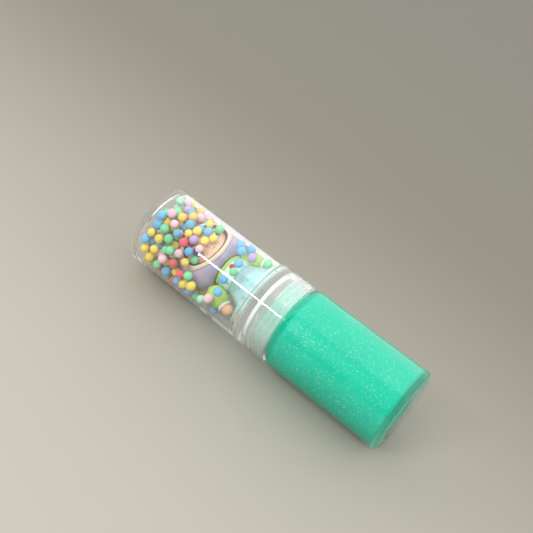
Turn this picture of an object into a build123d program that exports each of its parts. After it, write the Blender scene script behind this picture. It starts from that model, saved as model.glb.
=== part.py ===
from build123d import *
import math
import os
import random

# A clear two-chamber toy tube that lies on its side. A jar of slime is closed by a clear screw
# cap, the cap's upper face carries a small doll among loose foam beads, and a clear cover with a
# closed end is pushed over the cap's spigot.
#
# Every piece is first made upright: the tube's axis is Z, height 0 is the outside of the jar's
# base and the closed end of the bead cover is at TUBE_LENGTH. lay_down() then turns the tube so
# that its axis lies along X, the jar's base faces +X and the tube rests on the plane Z = 0.

# ---- driving dimensions, mm ----
TUBE_RADIUS = 25.0
TUBE_LENGTH = 178.0
JAR_WALL = 2.0
JAR_BASE_THICKNESS = 3.2
JAR_SHOULDER_HEIGHT = 76.6
SHOULDER_ROUND = 3.5
BASE_ROUND = 2.0
NECK_OUTER_RADIUS = 20.4
NECK_INNER_RADIUS = 18.4
NECK_TOP = 91.0
SLIME_GAP = 0.1
SLIME_LEVEL = 88.6

CAP_BOTTOM = 77.1
CAP_TOP = 99.6
SKIRT_INNER_RADIUS = 22.2
WEB_BOTTOM = 93.9
WEB_TOP = 97.4
SPIGOT_RADIUS = 22.9
SPIGOT_INNER_RADIUS = 21.5
SPIGOT_TOP = 102.6

THREAD_PITCH = 3.0
THREAD_TURNS = 3.4
THREAD_START = 79.4
RIDGE_BASE = 1.5
RIDGE_CREST = 0.7
RIDGE_SEAT = 0.3
NECK_CREST_RADIUS = 21.6
CAP_CREST_RADIUS = 21.0

COVER_RADIUS = 24.75
COVER_INNER_RADIUS = 23.05
COVER_BOTTOM = 99.8
COVER_END_THICKNESS = 1.8
COVER_INNER_ROUND = 4.5

FACE_TURN = 52.5
DOLL_SIDE_SHIFT = 3.2
DOLL_SET_BACK = 1.6
HOOD_RADIUS = 18.6
HOOD_BASE = 30.5
HOOD_TOP = 63.0
HOOD_BASE_ROUND = 7.5
HOOD_TOP_ROUND = 17.5
HOOD_WALL = 2.0
FACE_HALF_WIDTH = 14.5
FACE_HALF_HEIGHT = 10.2
FACE_CENTRE = 45.3
TRIM_WIDTH = 2.5
TRIM_PROUD = 0.6
NECK_RADIUS = 4.0
NECK_HOLE_RADIUS = 6.0
DRESS_HEM_RADIUS = 17.0
DRESS_HIP_RADIUS = 15.4
DRESS_WAIST_RADIUS = 10.2
DRESS_HEM = 3.0
DRESS_HIP = 9.0
DRESS_WAIST = 20.0
CHEST_RADIUS = 10.8
BODICE_TOP_RADIUS = 9.4
BODICE_TOP = 30.5
COLLAR_RADIUS = 9.2
COLLAR_SECTION = 1.5
BADGE_RADIUS = 1.7
BADGE_HEIGHT = 25.4
BADGE_THICKNESS = 2.4
SLEEVE_RADIUS = 5.8
SLEEVE_HALF_LENGTH = 7.2
SLEEVE_SPREAD = 14.0
SLEEVE_OFFSETS = {"right": -16.2, "left": 13.6}
SLEEVE_FORWARD = 1.0
SLEEVE_CENTRE = 23.4
CUFF_RADIUS = 4.1
CUFF_THICKNESS = 1.6
CUFF_RISE = 0.4
HAND_RADIUS = 3.6
HAND_DROP = 1.9
SHOE_RADIUS = 4.2
SHOE_SPREAD = 5.4
SHOE_FORWARD = 5.0
SEAT_GAP = 0.05

BEAD_RADII = (2.35, 2.85)
BEAD_GAP = 0.08
PILE_COUNT = 225
PILE_TRIES = 20000
PILE_SEED = 11
PILE_BOTTOM = 139.0
PILE_SLOPE = 0.2
PILE_PULL = (-0.62, 0.0, -0.78)
SETTLE_FIRST_STEP = 4.0
SETTLE_LAST_STEP = 0.12
SETTLE_SHRINK = 0.65
SETTLE_NUDGES = 12
BEAD_SHARES = {
    "yellow": 0.3,
    "blue": 0.24,
    "pink": 0.16,
    "green": 0.12,
    "lavender": 0.06,
    "red": 0.08,
    "mint": 0.04,
}
# Beads that cling to the cover's wall: angle round the axis from the direction that the face looks
# in, height, colour. A bead that doesn't fit where it is listed is left out.
CLINGING_BEADS = [
    (31, 122.0, "blue"),
    (44, 126.0, "blue"),
    (62, 121.5, "blue"),
    (34, 115.0, "lavender"),
    (49, 107.0, "green"),
    (9, 117.5, "blue"),
    (-7, 116.0, "green"),
    (-25, 118.0, "blue"),
    (-47, 117.0, "blue"),
    (-70, 121.0, "pink"),
    (-86, 126.0, "mint"),
    (-111, 119.0, "blue"),
    (66, 134.0, "lavender"),
    (62, 139.5, "green"),
    (52, 144.0, "red"),
    (-108, 132.0, "green"),
    (-97, 136.5, "blue"),
    (-73, 134.0, "yellow"),
    (-83, 139.5, "yellow"),
    (-58, 137.5, "green"),
    (-65, 142.5, "red"),
    (-41, 142.5, "yellow"),
    (-24, 144.0, "blue"),
    (-11, 140.0, "pink"),
    (4, 141.0, "yellow"),
    (21, 144.0, "blue"),
    (36, 147.5, "yellow"),
    (10, 148.5, "yellow"),
    (-5, 146.3, "lavender"),
    (-18, 150.0, "red"),
    (-36, 148.5, "pink"),
    (-41, 154.0, "green"),
    (-56, 149.0, "red"),
    (-63, 156.5, "pink"),
    (64, 154.0, "pink"),
    (72, 162.0, "yellow"),
    (-150, 126.0, "yellow"),
    (128, 121.0, "yellow"),
    (160, 127.5, "pink"),
    (-52, 171.5, "blue"),
    (40, 171.5, "mint"),
    (78, 170.5, "yellow"),
    (-68, 169.8, "yellow"),
    (-36, 169.6, "yellow"),
    (-37, 163.6, "yellow"),
    (-57, 163.6, "yellow"),
    (-82, 166.0, "yellow"),
    (-86, 160.0, "green"),
    (-28, 158.6, "green"),
    (-19, 164.2, "green"),
    (-13, 156.2, "blue"),
    (-4, 161.4, "pink"),
    (12, 154.6, "blue"),
    (13, 161.0, "yellow"),
    (8, 167.3, "pink"),
    (27, 157.4, "yellow"),
]

# ---- helpers ----
def turned(outline):
    """Revolve a closed outline of (radius, height) or (radius, height, corner radius) about Z."""
    corners = [Vector(corner[0], 0, corner[1]) for corner in outline]
    face = make_face(Polyline(*corners, close=True)).faces()[0]
    for corner, entry in zip(corners, outline):
        if len(entry) == 3:
            vertex = face.vertices().sort_by_distance(corner)[0]
            face = face.fillet_2d(entry[2], [vertex])
    return revolve(face, axis=Axis.Z)


def egg(radius, half_height):
    """An ellipsoid of revolution about Z, centred on the origin."""
    arc = EllipticalCenterArc((0, 0), radius, half_height, start_angle=-90, arc_size=180)
    outline = make_face([arc, Line(arc @ 1, arc @ 0)])
    return revolve(Plane.XZ * outline, axis=Axis.Z)


def thread_ridge(root_radius, crest_radius, start_height, start_angle):
    """One helical ridge, seated a little way into the wall at root_radius."""
    outward = 1.0 if crest_radius > root_radius else -1.0
    seat = root_radius - outward * RIDGE_SEAT
    reach = abs(crest_radius - seat)
    path = Helix(pitch=THREAD_PITCH, height=THREAD_TURNS * THREAD_PITCH, radius=seat)
    section = Plane(origin=path @ 0, x_dir=(outward, 0, 0), z_dir=path % 0)
    half_base = RIDGE_BASE / 2
    half_crest = RIDGE_CREST / 2
    profile = make_face(
        Polyline((0, -half_base), (reach, -half_crest), (reach, half_crest), (0, half_base), close=True)
    )
    ridge = sweep(section * profile, path=path, is_frenet=True)
    return Pos(0, 0, start_height) * Rot(0, 0, start_angle) * ridge


# ---- jar, slime and seals ----
def slime_jar():
    inner = TUBE_RADIUS - JAR_WALL
    body = turned(
        [
            (0, 1.6),
            (8.0, 1.6),
            (8.6, 1.1),
            (17.0, 1.1),
            (18.2, 0.0),
            (TUBE_RADIUS, 0.0, BASE_ROUND),
            (TUBE_RADIUS, JAR_SHOULDER_HEIGHT, SHOULDER_ROUND),
            (NECK_OUTER_RADIUS, JAR_SHOULDER_HEIGHT, 0.5),
            (NECK_OUTER_RADIUS, NECK_TOP, 0.4),
            (NECK_INNER_RADIUS, NECK_TOP, 0.4),
            (NECK_INNER_RADIUS, JAR_SHOULDER_HEIGHT - 1.6, 1.4),
            (inner, JAR_SHOULDER_HEIGHT - 3.4, 2.0),
            (inner, JAR_BASE_THICKNESS, 2.0),
            (0, JAR_BASE_THICKNESS),
        ]
    )
    return body + thread_ridge(NECK_OUTER_RADIUS, NECK_CREST_RADIUS, THREAD_START, 0.0)


def slime():
    inner = TUBE_RADIUS - JAR_WALL - SLIME_GAP
    neck = NECK_INNER_RADIUS - SLIME_GAP
    floor = JAR_BASE_THICKNESS + SLIME_GAP
    return turned(
        [
            (0, floor),
            (inner, floor, 2.0),
            (inner, JAR_SHOULDER_HEIGHT - 3.6, 2.0),
            (neck, JAR_SHOULDER_HEIGHT - 1.8, 1.4),
            (neck, SLIME_LEVEL),
            (0, SLIME_LEVEL),
        ]
    )


def neck_plug():
    spigot = NECK_INNER_RADIUS - SLIME_GAP
    return turned(
        [
            (0, SLIME_LEVEL + 0.4),
            (spigot, SLIME_LEVEL + 0.4, 0.4),
            (spigot, NECK_TOP + SEAT_GAP),
            (NECK_OUTER_RADIUS - 0.2, NECK_TOP + SEAT_GAP),
            (NECK_OUTER_RADIUS - 0.2, NECK_TOP + 0.9, 0.3),
            (15.6, NECK_TOP + 0.9),
            (15.0, SLIME_LEVEL + 1.4),
            (0, SLIME_LEVEL + 1.4),
        ]
    )


def seal_gasket():
    bottom = NECK_TOP + 1.0
    top = WEB_BOTTOM - 0.1
    return turned([(15.4, bottom, 0.3), (20.9, bottom, 0.3), (20.9, top, 0.3), (15.4, top, 0.3)])


# ---- screw cap and bead cover ----
def screw_cap():
    body = turned(
        [
            (0, WEB_BOTTOM),
            (SKIRT_INNER_RADIUS, WEB_BOTTOM, 0.4),
            (SKIRT_INNER_RADIUS, CAP_BOTTOM, 0.6),
            (TUBE_RADIUS, CAP_BOTTOM, 1.2),
            (TUBE_RADIUS, CAP_TOP, 0.8),
            (SPIGOT_RADIUS, CAP_TOP),
            (SPIGOT_RADIUS, SPIGOT_TOP, 0.4),
            (SPIGOT_INNER_RADIUS, SPIGOT_TOP, 0.4),
            (SPIGOT_INNER_RADIUS, WEB_TOP, 1.0),
            (0, WEB_TOP),
        ]
    )
    return body + thread_ridge(SKIRT_INNER_RADIUS, CAP_CREST_RADIUS, THREAD_START, 180.0)


def bead_cover():
    end = TUBE_LENGTH - COVER_END_THICKNESS
    return turned(
        [
            (COVER_INNER_RADIUS, COVER_BOTTOM, 0.3),
            (COVER_RADIUS, COVER_BOTTOM, 0.8),
            (COVER_RADIUS, TUBE_LENGTH, 1.8),
            (0, TUBE_LENGTH),
            (0, end),
            (COVER_INNER_RADIUS, end, COVER_INNER_ROUND),
        ]
    )


# ---- doll, made standing on Z = 0 and facing -Y ----
def bun(inset):
    """The hood's rounded outer form, or the same form drawn in by inset."""
    return turned(
        [
            (0, HOOD_BASE + inset),
            (HOOD_RADIUS - inset, HOOD_BASE + inset, HOOD_BASE_ROUND - inset),
            (HOOD_RADIUS - inset, HOOD_TOP - inset, HOOD_TOP_ROUND - inset),
            (0, HOOD_TOP - inset),
        ]
    )


def face_oval(margin):
    """A bar along -Y with the section of the face's oval, larger all round by margin."""
    oval = Ellipse(FACE_HALF_WIDTH + margin, FACE_HALF_HEIGHT + margin)
    return Pos(0, 0, FACE_CENTRE) * Rot(90, 0, 0) * extrude(oval, HOOD_RADIUS + 5)


def sleeve_place(offset):
    """The frame of one sleeve: its Z axis runs up the arm to the shoulder."""
    lean = math.copysign(SLEEVE_SPREAD, offset)
    return Pos(offset, -SLEEVE_FORWARD, SLEEVE_CENTRE) * Rot(0, -lean, 0)


def head_pieces():
    head = bun(HOOD_WALL)
    head_seat = bun(HOOD_WALL - SEAT_GAP)
    trim = (bun(-TRIM_PROUD) - head_seat) & (face_oval(TRIM_WIDTH) - face_oval(0))
    neck_hole = Pos(0, 0, HOOD_BASE) * Cylinder(NECK_HOLE_RADIUS, 3 * HOOD_WALL)
    hood = bun(0) - head_seat - face_oval(TRIM_WIDTH + SEAT_GAP) - neck_hole
    neck_length = HOOD_BASE + HOOD_WALL - BODICE_TOP - SEAT_GAP
    neck = Pos(0, 0, BODICE_TOP) * Cylinder(
        NECK_RADIUS, neck_length, align=(Align.CENTER, Align.CENTER, Align.MIN)
    )
    return {"doll_head": head, "doll_hood": hood, "doll_hood_trim": trim, "doll_neck": neck}


def arm_pieces(name, offset):
    """One arm's pieces, and the room that they take from the dress and the bodice."""
    place = sleeve_place(offset)
    below = (Align.CENTER, Align.CENTER, Align.MAX)
    above = (Align.CENTER, Align.CENTER, Align.MIN)
    cuff_height = -SLEEVE_HALF_LENGTH + CUFF_RISE
    cuff_place = place * Pos(0, 0, cuff_height - SEAT_GAP)
    hand_top = CUFF_THICKNESS + SEAT_GAP
    sleeve = place * egg(SLEEVE_RADIUS, SLEEVE_HALF_LENGTH)
    sleeve = sleeve - place * Pos(0, 0, cuff_height) * Cylinder(SLEEVE_RADIUS + 2, 6, align=below)
    cuff = fillet(Cylinder(CUFF_RADIUS, CUFF_THICKNESS, align=below).edges(), 0.5)
    hand = Pos(0, 0, -hand_top - HAND_DROP) * Sphere(HAND_RADIUS)
    hand = hand - Pos(0, 0, -hand_top) * Cylinder(2 * HAND_RADIUS, 8, align=above)
    pieces = {
        f"doll_sleeve_{name}": sleeve,
        f"doll_cuff_{name}": cuff_place * cuff,
        f"doll_hand_{name}": cuff_place * hand,
    }
    room = [
        place * egg(SLEEVE_RADIUS + SEAT_GAP, SLEEVE_HALF_LENGTH + SEAT_GAP),
        cuff_place * Cylinder(CUFF_RADIUS + SEAT_GAP, CUFF_THICKNESS + SEAT_GAP, align=below),
        cuff_place * Pos(0, 0, -hand_top - HAND_DROP) * Sphere(HAND_RADIUS + SEAT_GAP),
    ]
    return pieces, room


def body_pieces():
    dress = turned(
        [
            (0, DRESS_HEM),
            (DRESS_HEM_RADIUS, DRESS_HEM, 1.0),
            (DRESS_HIP_RADIUS, DRESS_HIP, 6.0),
            (DRESS_WAIST_RADIUS, DRESS_WAIST, 0.8),
            (0, DRESS_WAIST),
        ]
    )
    bodice = turned(
        [
            (0, DRESS_WAIST + SEAT_GAP),
            (DRESS_WAIST_RADIUS, DRESS_WAIST + SEAT_GAP, 0.8),
            (CHEST_RADIUS, DRESS_WAIST + 5.0, 3.0),
            (BODICE_TOP_RADIUS, BODICE_TOP - SEAT_GAP, 1.5),
            (0, BODICE_TOP - SEAT_GAP),
        ]
    )
    collar_place = Pos(0, 0, BODICE_TOP - COLLAR_SECTION - 2 * SEAT_GAP)
    collar = collar_place * Torus(COLLAR_RADIUS, COLLAR_SECTION)
    collar_seat = collar_place * Torus(COLLAR_RADIUS, COLLAR_SECTION + SEAT_GAP)
    badge_place = Pos(0, -CHEST_RADIUS + 0.3, BADGE_HEIGHT) * Rot(90, 0, 0)
    badge = badge_place * Cylinder(BADGE_RADIUS, BADGE_THICKNESS)
    badge_seat = badge_place * Cylinder(BADGE_RADIUS + SEAT_GAP, BADGE_THICKNESS + 2 * SEAT_GAP)
    pieces = {}
    for name, offset in SLEEVE_OFFSETS.items():
        arm, room = arm_pieces(name, offset)
        pieces.update(arm)
        for solid in room:
            dress = dress - solid
            bodice = bodice - solid
            collar = collar - solid
    pieces["doll_dress"] = dress
    pieces["doll_bodice"] = bodice - collar_seat - badge_seat
    pieces["doll_collar"] = collar
    pieces["doll_badge"] = badge
    sole = DRESS_HEM - SEAT_GAP
    shoe = turned([(0, 0), (SHOE_RADIUS, 0, 0.6), (SHOE_RADIUS, sole, 1.6), (0, sole)])
    pieces["doll_shoes"] = [Pos(side * SHOE_SPREAD, -SHOE_FORWARD, 0) * shoe for side in (-1, 1)]
    return pieces


def stand_doll():
    """Where the doll stands on the cap's web, its face turned to FACE_TURN."""
    return Pos(0, 0, WEB_TOP) * Rot(0, 0, FACE_TURN) * Pos(DOLL_SIDE_SHIFT, DOLL_SET_BACK, 0)


# ---- loose foam beads, worked out with points as plain (x, y, z) ----
TRIM_SAMPLES = 60
# Balls that stand for one arm: place along the arm from the sleeve's middle, radius.
ARM_BALLS = ((4, 4.8), (1, SLEEVE_RADIUS), (-3, SLEEVE_RADIUS), (-8, 4.3), (-11, HAND_RADIUS))


def in_doll_frame(point):
    turn = math.radians(-FACE_TURN)
    x = point[0] * math.cos(turn) - point[1] * math.sin(turn)
    y = point[0] * math.sin(turn) + point[1] * math.cos(turn)
    return x - DOLL_SIDE_SHIFT, y - DOLL_SET_BACK, point[2] - WEB_TOP


def gap_to_bun(across, height, inset):
    """How far a point is from the hood's form drawn in by inset."""
    radius = HOOD_RADIUS - inset
    top_centre = HOOD_TOP - HOOD_TOP_ROUND
    base_centre = HOOD_BASE + HOOD_BASE_ROUND
    if height > top_centre:
        reach = max(across - HOOD_RADIUS + HOOD_TOP_ROUND, 0)
        return math.hypot(reach, height - top_centre) - HOOD_TOP_ROUND + inset
    if height < base_centre:
        reach = max(across - HOOD_RADIUS + HOOD_BASE_ROUND, 0)
        return math.hypot(reach, base_centre - height) - HOOD_BASE_ROUND + inset
    return across - radius


def trim_points():
    """Points along the middle of the trim."""
    points = []
    for k in range(TRIM_SAMPLES):
        turn = 2 * math.pi * k / TRIM_SAMPLES
        x = (FACE_HALF_WIDTH + TRIM_WIDTH / 2) * math.cos(turn)
        z = FACE_CENTRE + (FACE_HALF_HEIGHT + TRIM_WIDTH / 2) * math.sin(turn)
        radius = HOOD_RADIUS - max(gap_to_bun(HOOD_RADIUS, z, 0), 0)
        points.append((x, -math.sqrt(max(radius**2 - x**2, 0)), z))
    return points


def arm_points():
    """Points along both arms, each with the arm's radius there."""
    points = []
    for offset in SLEEVE_OFFSETS.values():
        lean = math.radians(math.copysign(SLEEVE_SPREAD, offset))
        for along, radius in ARM_BALLS:
            x = offset - along * math.sin(lean)
            z = SLEEVE_CENTRE + along * math.cos(lean)
            points.append(((x, -SLEEVE_FORWARD, z), radius))
    return points


DOLL_BALLS = [(point, TRIM_WIDTH / 2 + TRIM_PROUD) for point in trim_points()] + arm_points()


def gap_to_doll(point):
    """About how far a point, in the doll's own frame, is from the doll."""
    x, y, z = point
    across = math.hypot(x, y)
    before_face = y < 0 and math.hypot(x / FACE_HALF_WIDTH, (z - FACE_CENTRE) / FACE_HALF_HEIGHT) < 1
    gap = gap_to_bun(across, z, HOOD_WALL if before_face else 0)
    for ball, radius in DOLL_BALLS:
        gap = min(gap, math.dist(point, ball) - radius)
    if z < BODICE_TOP + 3:
        share = min(max((z - DRESS_HEM) / (DRESS_WAIST - DRESS_HEM), 0), 1)
        skirt = DRESS_HEM_RADIUS + (CHEST_RADIUS - DRESS_HEM_RADIUS) * share**1.5
        gap = min(gap, across - skirt)
    return gap


def fits(point, radius, placed):
    """Whether a bead is clear of the cover, the beads already placed and the doll."""
    across = math.hypot(point[0], point[1])
    end = TUBE_LENGTH - COVER_END_THICKNESS
    room = radius + BEAD_GAP
    if across > COVER_INNER_RADIUS - room or point[2] > end - room:
        return False
    past_corner = point[2] - end + COVER_INNER_ROUND
    past_side = across - COVER_INNER_RADIUS + COVER_INNER_ROUND
    in_corner = past_corner > 0 and past_side > 0
    if in_corner and math.hypot(past_corner, past_side) > COVER_INNER_ROUND - room:
        return False
    for other, other_radius, _ in placed:
        reach = room + other_radius
        if abs(point[2] - other[2]) < reach and math.dist(point, other) < reach:
            return False
    return gap_to_doll(in_doll_frame(point)) > room


def settle(start, radius, placed, chance):
    """Let one bead fall from start in small steps until nothing near it is lower."""
    point = start
    step = SETTLE_FIRST_STEP
    while step > SETTLE_LAST_STEP:
        moved = False
        for _ in range(SETTLE_NUDGES):
            nudge = [chance.uniform(-1, 1) for _ in range(3)]
            trial = tuple(p + (pull + n) * step for p, pull, n in zip(point, PILE_PULL, nudge))
            fall = sum((t - p) * pull for t, p, pull in zip(trial, point, PILE_PULL))
            above_bottom = trial[2] > PILE_BOTTOM + PILE_SLOPE * trial[0]
            if fall > 0.02 and above_bottom and fits(trial, radius, placed):
                point = trial
                moved = True
                break
        if not moved:
            step *= SETTLE_SHRINK
    return point


def scatter_beads():
    """Every bead as (centre, radius, colour): the ones that cling by hand, then the pile by chance."""
    chance = random.Random(PILE_SEED)
    placed = []
    for angle, height, colour in CLINGING_BEADS:
        radius = chance.uniform(*BEAD_RADII)
        turn = math.radians(FACE_TURN - 90 + angle)
        out = COVER_INNER_RADIUS - radius - 2 * BEAD_GAP
        point = (out * math.cos(turn), out * math.sin(turn), height)
        if fits(point, radius, placed):
            placed.append((point, radius, colour))
    colours = list(BEAD_SHARES)
    shares = list(BEAD_SHARES.values())
    top = TUBE_LENGTH - COVER_END_THICKNESS - BEAD_RADII[1] - 2 * BEAD_GAP
    tries = 0
    while len(placed) < PILE_COUNT and tries < PILE_TRIES:
        tries += 1
        radius = chance.uniform(*BEAD_RADII)
        out = (COVER_INNER_RADIUS - radius) * math.sqrt(chance.random())
        turn = chance.uniform(0, 2 * math.pi)
        start = (out * math.cos(turn), out * math.sin(turn), chance.uniform(PILE_BOTTOM, top))
        if fits(start, radius, placed):
            point = settle(start, radius, placed, chance)
            colour = chance.choices(colours, shares)[0]
            placed.append((point, radius, colour))
    return placed


def bead_groups():
    groups = {colour: [] for colour in BEAD_SHARES}
    for point, radius, colour in scatter_beads():
        groups[colour].append(Pos(*point) * Sphere(radius))
    return {f"beads_{colour}": beads for colour, beads in groups.items()}


# ---- assembly ----
def lay_down():
    return Pos(TUBE_LENGTH / 2, 0, TUBE_RADIUS) * Rot(0, -90, 0)


def write_node(name, shape):
    solids = shape if isinstance(shape, list) else [shape]
    placed = [lay_down() * solid for solid in solids]
    node = placed[0] if len(placed) == 1 else Compound(children=placed)
    node.label = name
    export_step(node, f"parts/{name}.step")


def main():
    os.makedirs("parts", exist_ok=True)
    nodes = {
        "slime_jar": slime_jar(),
        "slime": slime(),
        "neck_plug": neck_plug(),
        "seal_gasket": seal_gasket(),
        "screw_cap": screw_cap(),
        "bead_cover": bead_cover(),
    }
    for name, piece in (head_pieces() | body_pieces()).items():
        solids = piece if isinstance(piece, list) else [piece]
        nodes[name] = [stand_doll() * solid for solid in solids]
    nodes.update(bead_groups())
    for name, shape in nodes.items():
        write_node(name, shape)


main()
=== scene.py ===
import math
import random

import bmesh
import bpy
from mathutils import Matrix, Vector, noise


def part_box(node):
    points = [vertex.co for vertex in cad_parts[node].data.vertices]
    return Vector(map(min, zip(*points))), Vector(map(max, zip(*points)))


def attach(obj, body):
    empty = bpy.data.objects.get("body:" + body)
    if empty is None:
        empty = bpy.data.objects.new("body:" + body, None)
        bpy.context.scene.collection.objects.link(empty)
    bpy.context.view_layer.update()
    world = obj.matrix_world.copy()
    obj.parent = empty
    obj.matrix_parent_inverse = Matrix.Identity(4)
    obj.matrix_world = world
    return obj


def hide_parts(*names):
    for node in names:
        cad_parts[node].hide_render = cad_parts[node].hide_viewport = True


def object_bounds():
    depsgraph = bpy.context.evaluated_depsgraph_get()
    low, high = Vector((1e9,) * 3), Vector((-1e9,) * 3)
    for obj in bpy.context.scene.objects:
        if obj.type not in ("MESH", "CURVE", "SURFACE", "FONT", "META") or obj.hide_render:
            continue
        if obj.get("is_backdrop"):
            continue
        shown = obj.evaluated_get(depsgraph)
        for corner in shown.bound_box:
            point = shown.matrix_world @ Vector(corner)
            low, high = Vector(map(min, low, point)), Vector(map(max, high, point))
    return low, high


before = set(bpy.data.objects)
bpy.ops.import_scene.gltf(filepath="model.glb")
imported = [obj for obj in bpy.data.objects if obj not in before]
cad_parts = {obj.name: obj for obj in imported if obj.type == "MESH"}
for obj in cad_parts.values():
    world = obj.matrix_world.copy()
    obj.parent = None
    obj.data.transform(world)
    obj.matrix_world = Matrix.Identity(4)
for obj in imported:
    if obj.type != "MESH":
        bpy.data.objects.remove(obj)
CAD_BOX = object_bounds()

# ---- the tube's frame, in metres ----
# s is the distance along the tube from the jar's base; the tube's axis lies along -X from there.
MM = 0.001
BASE_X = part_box("slime_jar")[1][0]
AXIS_Z = (CAD_BOX[0][2] + CAD_BOX[1][2]) / 2
ROUND_STEPS = 7
TUBE_SEGMENTS = 224

# ---- sizes that repeat the CAD model's, mm ----
TUBE_LENGTH = 178.0
TUBE_RADIUS = 25.0
JAR_BASE = 3.2
JAR_BORE = 23.0
SHOULDER = 76.6
SHOULDER_ROUND = 3.5
NECK_RADIUS = 20.4
NECK_BORE = 18.4
NECK_TOP = 91.0
SLIME_LEVEL = 88.6
CAP_BOTTOM = 77.1
CAP_TOP = 99.6
SKIRT_BORE = 22.2
WEB_BOTTOM = 93.9
SPIGOT_RADIUS = 22.9
SPIGOT_BORE = 21.5
SPIGOT_TOP = 102.6
COVER_BOTTOM = 99.8
COVER_RADIUS = 24.75
COVER_BORE = 23.05
COVER_INNER_END = 176.2
THREAD_PITCH = 3.0
THREAD_TURNS = 3.4
THREAD_START = 79.4
THREAD_CREST = 0.7
THREAD_BASE = 1.7
THREAD_HEIGHT = 1.2
THREAD_STEP = 0.12
WEB_TOP = 97.4
FACE_TURN = 52.5
DOLL_SIDE_SHIFT = 3.2
DOLL_SET_BACK = 1.6
HOOD_RADIUS = 18.6
HOOD_BASE = 30.5
HOOD_TOP = 63.0
HOOD_BASE_ROUND = 7.5
HOOD_TOP_ROUND = 17.5
HOOD_WALL = 2.0
FACE_HALF_WIDTH = 14.5
FACE_HALF_HEIGHT = 10.2
FACE_CENTRE = 45.3
TRIM_WIDTH = 2.5
TRIM_PROUD = 0.6
# Nose, chin and cheeks: across, height, half width, half height, rise.
FACE_SWELLS = (
    (0, 42.3, 1.1, 1.0, 0.55),
    (0, 37.6, 3.0, 1.6, 0.25),
    (-9.0, 40.4, 3.2, 2.6, 0.35),
    (9.0, 40.4, 3.2, 2.6, 0.35),
)
DRESS_HEM = 3.0
COLLAR_CENTRE = 28.9
COLLAR_RADIUS = 9.2
BADGE_CENTRE = 25.4
BADGE_FORWARD = 10.5
SLEEVE_SPREAD = 14.0
SLEEVE_OFFSETS = {"right": -16.2, "left": 13.6}
SLEEVE_FORWARD = 1.0
SLEEVE_CENTRE = 23.4

# ---- slime and glitter, mm ----
WET = 0.04
GLITTER_COUNT = 1800
GLITTER_SPAN = (5.5, 72.5)
GLITTER_RADIUS = 23.07
FLAKE_SIZES = (0.04, 0.1)
FLAKE_THICKNESS = 0.03

# ---- camera ----
AIM = Vector((-16.7, 0.0, 46.2)) * MM
CAMERA_DISTANCE = 470.4 * MM
CAMERA_AZIMUTH = 20.97
CAMERA_ELEVATION = 31.23
CAMERA_ROLL = 25.85
LENS = 57.56
SENSOR = 36.0

# ---- light: surroundings bright all round, but darker on the side that the tube's front faces ----
GLASS_BOUNCES = 28
PASS_DEPTH = 2
DARK_SIDE = (0.0, -0.92, -0.39)
SKY_BRIGHT = 1.1
SKY_DARK = 0.2
WARM_WHITE = (1.0, 0.985, 0.96)
FLOOR_REACH = 4.0


# ---- geometry helpers ----
def rounded(corners, steps=ROUND_STEPS, closed=False):
    """A smooth outline through (s, r) corners in mm, each rounded by its third value if it has one.
    Short support edges beside each arc keep the shading of the flats flat."""
    count = len(corners)
    outline = []
    for i, corner in enumerate(corners):
        here = Vector(corner[:2])
        ends = not closed and i in (0, count - 1)
        if len(corner) < 3 or ends:
            outline.append(here)
            continue
        back = (Vector(corners[i - 1][:2]) - here).normalized()
        ahead = (Vector(corners[(i + 1) % count][:2]) - here).normalized()
        half = back.angle(ahead) / 2
        reach = corner[2] / math.tan(half)
        centre = here + (back + ahead).normalized() * corner[2] / math.sin(half)
        start = here + back * reach - centre
        end = here + ahead * reach - centre
        turn = math.pi - 2 * half
        side = 1 if start.x * end.y - start.y * end.x > 0 else -1
        support = min(0.06, reach * 0.2)
        outline.append(here + back * (reach + support))
        for k in range(steps + 1):
            angle = side * turn * k / steps
            outline.append(
                centre
                + Vector(
                    (
                        start.x * math.cos(angle) - start.y * math.sin(angle),
                        start.x * math.sin(angle) + start.y * math.cos(angle),
                    )
                )
            )
        outline.append(here + ahead * (reach + support))
    return [(p.x, p.y) for p in outline]


def wall(start, end, radius, step=THREAD_STEP):
    """Close points along a straight wall from s = start to end, for a thread to be raised on."""
    count = max(2, round(abs(end - start) / step))
    return [(start + (end - start) * k / count, radius) for k in range(count + 1)]


def on_tube(s, r, angle):
    """A point in the row's frame from s and r in mm and an angle about the tube's axis."""
    return Vector((BASE_X - s * MM, r * MM * math.sin(angle), AXIS_Z + r * MM * math.cos(angle)))


def object_from(name, verts, faces, material, body, replaces=()):
    mesh = bpy.data.meshes.new(name)
    mesh.from_pydata([tuple(v) for v in verts], [], faces)
    mesh.validate()
    mesh.update()
    mesh.polygons.foreach_set("use_smooth", [True] * len(mesh.polygons))
    piece = bpy.data.objects.new(name, mesh)
    bpy.context.scene.collection.objects.link(piece)
    mesh.materials.append(material)
    face_outwards(mesh)
    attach(piece, body)
    if replaces:
        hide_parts(*replaces)
    return piece


def face_outwards(mesh):
    bm = bmesh.new()
    bm.from_mesh(mesh)
    bmesh.ops.recalc_face_normals(bm, faces=bm.faces)
    bm.to_mesh(mesh)
    bm.free()


def ring_faces(rings, segments, closed):
    """Quads between rings of segments vertices, or fans where a ring is a single pole vertex."""
    starts = []
    index = 0
    for size in rings:
        starts.append((index, size))
        index += size
    pairs = list(zip(starts, starts[1:]))
    if closed:
        pairs.append((starts[-1], starts[0]))
    faces = []
    for (a, a_size), (b, b_size) in pairs:
        for k in range(segments):
            n = (k + 1) % segments
            if a_size == 1 and b_size == 1:
                continue
            if a_size == 1:
                faces.append((a, b + k, b + n))
            elif b_size == 1:
                faces.append((a + k, b, a + n))
            else:
                faces.append((a + k, b + k, b + n, a + n))
    return faces


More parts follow.
